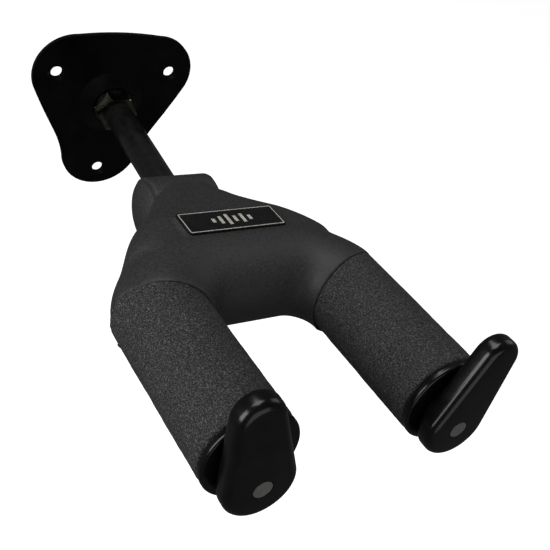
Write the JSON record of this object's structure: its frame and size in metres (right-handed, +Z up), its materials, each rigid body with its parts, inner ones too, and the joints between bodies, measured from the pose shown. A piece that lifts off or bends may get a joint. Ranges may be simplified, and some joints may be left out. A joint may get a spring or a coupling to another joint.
{
  "type": "wall guitar hanger",
  "caption": "Wall-mounted guitar hanger: screw plate, straight arm and a sprung padded fork whose end gates swing closed under the instrument's weight.",
  "frame": {"origin": "on the wall plate's back face, on the arm tube's axis", "axes": "+X to the right when facing the wall, +Y into the wall, +Z up; the arm reaches towards -Y"},
  "size_m": [0.1082, 0.2198, 0.0958],
  "materials": {
    "plate_paint": "gloss black powder coat",
    "tube_paint": "semi-gloss black paint",
    "nut_finish": "black-zinc steel, worn bright on the facets",
    "zinc_steel": "zinc-plated steel",
    "spring_steel": "oiled spring wire",
    "pin_steel": "satin steel",
    "bronze": "sintered bronze",
    "acetal": "natural acetal",
    "shell_plastic": "charcoal moulded plastic with a fine grain",
    "core_plastic": "black glass-filled nylon",
    "gate_gloss": "gloss black moulded plastic",
    "badge_gloss": "gloss black label with a plain pale border",
    "sleeve_foam": "charcoal closed-cell foam, coarse cut skin",
    "stop_rubber": "black rubber"
  },
  "bodies": {
    "bracket": {"wall_plate": "plate_paint", "retaining_bolt": "zinc_steel", "arm_washer": "nut_finish", "threaded_plug": "zinc_steel", "arm_tube": "tube_paint", "collar_nut": "nut_finish", "pivot_block": "zinc_steel", "pivot_bush": "bronze", "lock_lever": "zinc_steel", "lever_screws": "zinc_steel", "return_spring": "spring_steel"},
    "yoke": {"upper_shell": "shell_plastic", "base_cover": "shell_plastic", "cover_screws": "zinc_steel", "badge_plate": "badge_gloss", "pivot_pin": "zinc_steel", "pivot_washers": "acetal", "pivot_cap_left": "shell_plastic", "pivot_cap_right": "shell_plastic", "rest_stop": "stop_rubber", "load_stop": "stop_rubber", "arm_core_left": "core_plastic", "arm_core_right": "core_plastic", "foam_sleeve_left": "sleeve_foam", "foam_sleeve_right": "sleeve_foam", "end_collar_left": "gate_gloss", "end_collar_right": "gate_gloss", "rear_bush_left": "bronze", "rear_bush_right": "bronze", "front_bush_left": "bronze", "front_bush_right": "bronze"},
    "gate_left": {"gate_left": "gate_gloss", "gate_shaft_left": "pin_steel", "thrust_washer_left": "acetal", "gate_crank_left": "zinc_steel", "crank_pin_left": "pin_steel"},
    "gate_right": {"gate_right": "gate_gloss", "gate_shaft_right": "pin_steel", "thrust_washer_right": "acetal", "gate_crank_right": "zinc_steel", "crank_pin_right": "pin_steel"}
  },
  "joints": [
    {"name": "yoke_tip", "type": "hinge", "parent": "bracket", "child": "yoke", "pos_m": [0, -0.0803, 0], "axis": [1, 0, 0], "range_deg": [0, 7], "stiffness_Nm_per_rad": 3.3, "springref_deg": -11.46, "deforming": ["return_spring"]},
    {"name": "gate_left_turn", "type": "hinge", "parent": "yoke", "child": "gate_left", "pos_m": [-0.0374, -0.17977, 0.0104], "axis": [0, 0.9925, -0.1219], "range_deg": [0, 80]},
    {"name": "gate_right_turn", "type": "hinge", "parent": "yoke", "child": "gate_right", "pos_m": [0.0374, -0.17977, 0.0104], "axis": [0, 0.9925, -0.1219], "range_deg": [-80, 0]}
  ],
  "couplings": [
    {"joint": "gate_left_turn", "follows": "yoke_tip", "ratio": 11.428},
    {"joint": "gate_right_turn", "follows": "yoke_tip", "ratio": -11.428}
  ]
}
